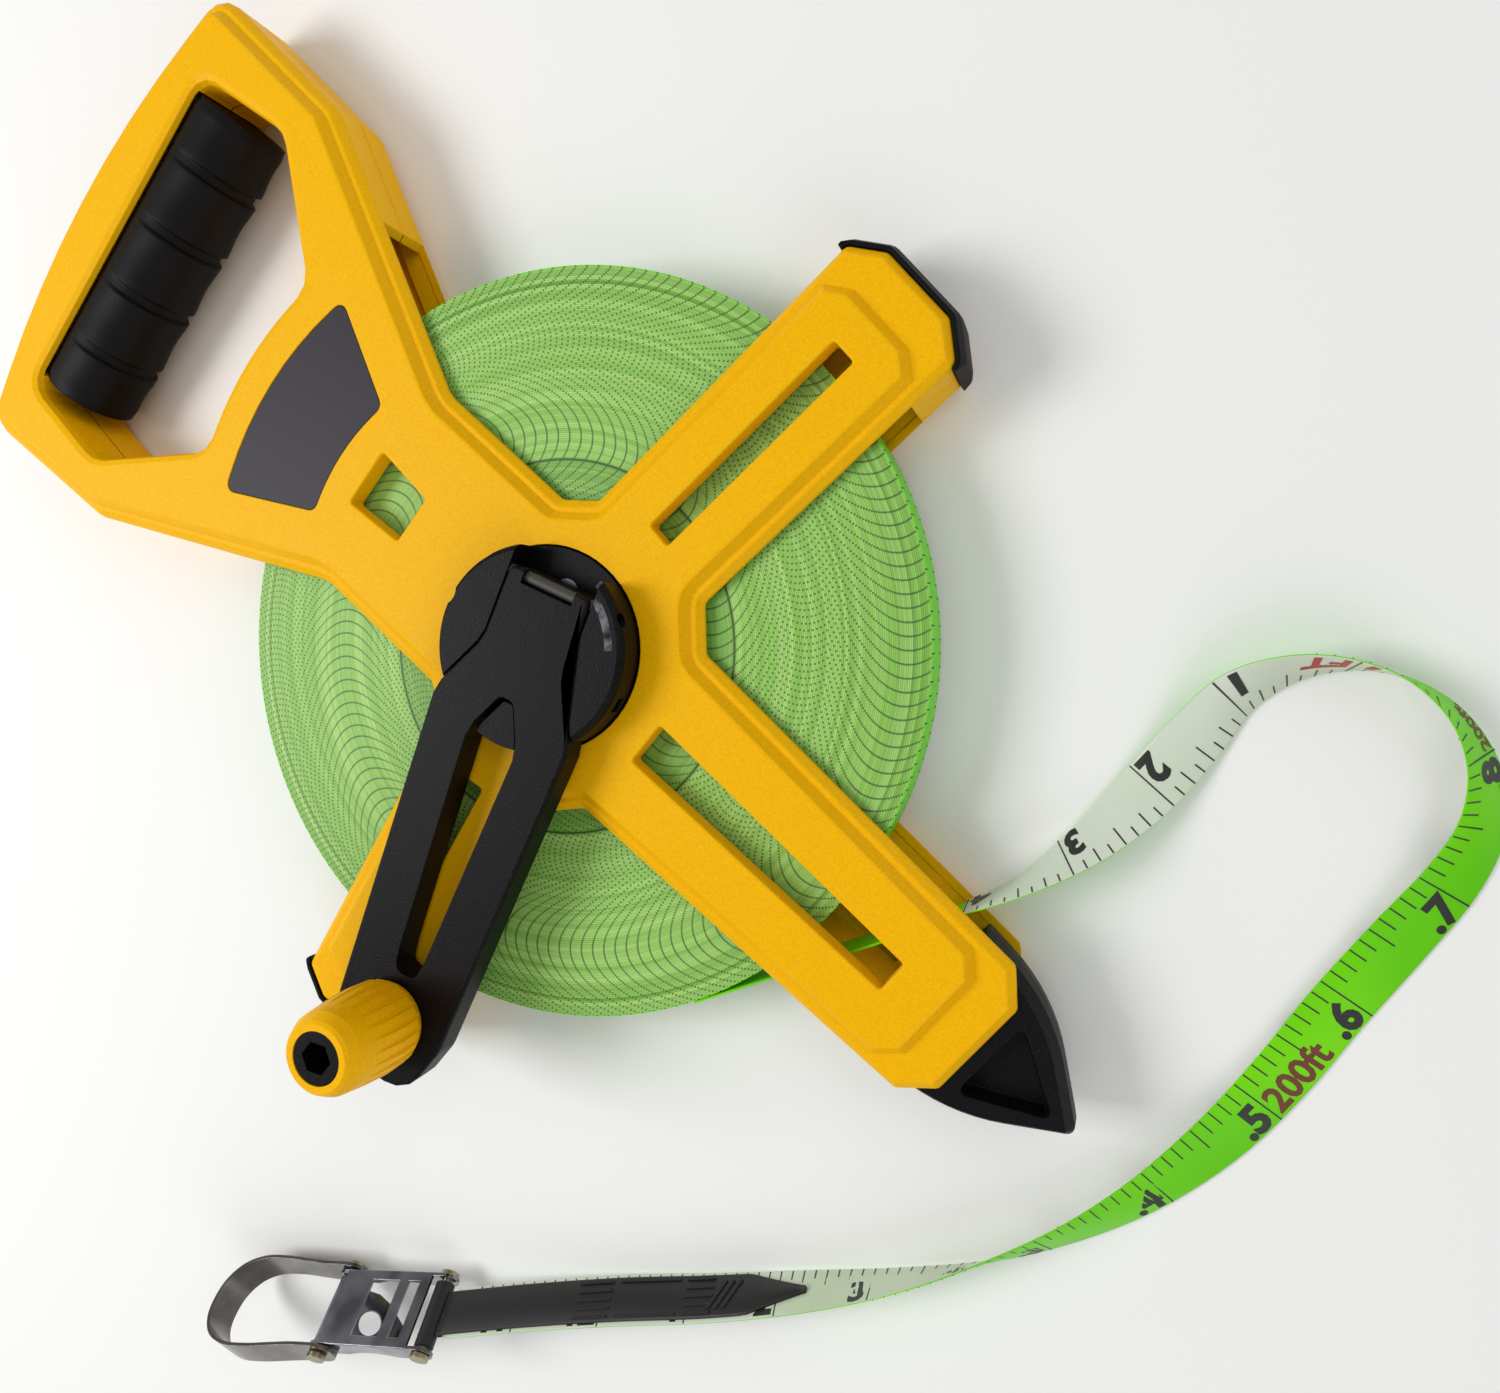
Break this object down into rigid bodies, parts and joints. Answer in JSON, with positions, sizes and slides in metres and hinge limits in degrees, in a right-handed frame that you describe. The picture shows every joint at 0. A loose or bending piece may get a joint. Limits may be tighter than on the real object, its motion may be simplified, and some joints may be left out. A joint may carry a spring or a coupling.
{
  "type": "surveyor tape reel",
  "caption": "Open-frame surveyor tape reel with hand grip, ground spike, fold-over crank and a free flat tape that ends in a pivoting hook.",
  "frame": {"origin": "on the spool's axis at the rear face, which lies on the floor", "axes": "+Y towards the hand grip, +Z out of the crank side, +X the side on which the tape leaves"},
  "size_m": [0.3561, 0.396, 0.0615],
  "materials": {
    "yellow_abs": "moulded, fine satin grain",
    "grip_rubber": "moulded rubber",
    "black_nylon": "fine moulded grain",
    "label_film": "satin film",
    "zinc_steel": "zinc plated",
    "acetal": "turned or moulded",
    "tape_edge": "wound coated tape seen edge on",
    "tape_face": "coated glass-fibre tape",
    "sleeve_vinyl": "ribbed vinyl",
    "plated_steel": "nickel plated",
    "rivet_steel": "turned rivet"
  },
  "bodies": {
    "frame": {"front_frame": "yellow_abs", "rear_frame": "yellow_abs", "handle_grip": "grip_rubber", "right_bumper": "grip_rubber", "left_bumper": "grip_rubber", "ground_spike": "black_nylon", "front_label": "label_film", "rear_label": "label_film", "frame_screws": "zinc_steel", "axle": "zinc_steel", "axle_cap": "black_nylon", "thrust_washers": "acetal", "retaining_ring": "zinc_steel", "roller_pins": "zinc_steel", "tape_lead": "tape_face", "tape_run": "tape_face", "tape_sleeve": "sleeve_vinyl"},
    "roller_in": {"inner_roller": "acetal"},
    "roller_out": {"outer_roller": "acetal"},
    "spool": {"spool_drum": "black_nylon", "front_bush": "acetal", "rear_bush": "acetal", "tape_pack": "tape_edge", "hub_disc": "black_nylon", "hub_screws": "zinc_steel", "hinge_pin": "zinc_steel"},
    "crank": {"crank_arm": "black_nylon", "knob_spindle": "black_nylon", "knob_screw": "zinc_steel"},
    "knob": {"crank_knob": "yellow_abs"},
    "hook": {"hook_bracket": "plated_steel", "tape_pin": "rivet_steel", "bail_pin": "rivet_steel"},
    "bail": {"hook_bail": "plated_steel"},
    "claw": {"hook_claw": "plated_steel"}
  },
  "joints": [
    {"name": "spool_spin", "type": "hinge", "parent": "frame", "child": "spool", "pos_m": [0, 0, 0.013], "axis": [0, 0, 1], "continuous": true},
    {"name": "crank_fold", "type": "hinge", "parent": "spool", "child": "crank", "pos_m": [0.01482, 0.00453, 0.033], "axis": [-0.2924, 0.9563, 0], "range_deg": [0, 180]},
    {"name": "knob_spin", "type": "hinge", "parent": "crank", "child": "knob", "pos_m": [-0.0985, -0.03011, 0.048], "axis": [0, 0, 1], "continuous": true},
    {"name": "roller_in_spin", "type": "hinge", "parent": "frame", "child": "roller_in", "pos_m": [0.01367, -0.10809, 0.013], "axis": [0, 0, 1], "continuous": true},
    {"name": "roller_out_spin", "type": "hinge", "parent": "frame", "child": "roller_out", "pos_m": [0.00996, -0.1154, 0.013], "axis": [0, 0, 1], "continuous": true},
    {"name": "hook_pivot", "type": "hinge", "parent": "frame", "child": "hook", "pos_m": [-0.171, -0.088, 0.0142], "axis": [0.3699, 0.4384, -0.8192], "range_deg": [0, 100]},
    {"name": "bail_pivot", "type": "hinge", "parent": "hook", "child": "bail", "pos_m": [-0.19699, -0.06607, 0.0142], "axis": [0.3699, 0.4384, -0.8192], "range_deg": [0, 110]},
    {"name": "claw_pivot", "type": "hinge", "parent": "hook", "child": "claw", "pos_m": [-0.19699, -0.06607, 0.0142], "axis": [0.3699, 0.4384, -0.8192], "range_deg": [-38, 47]}
  ]
}
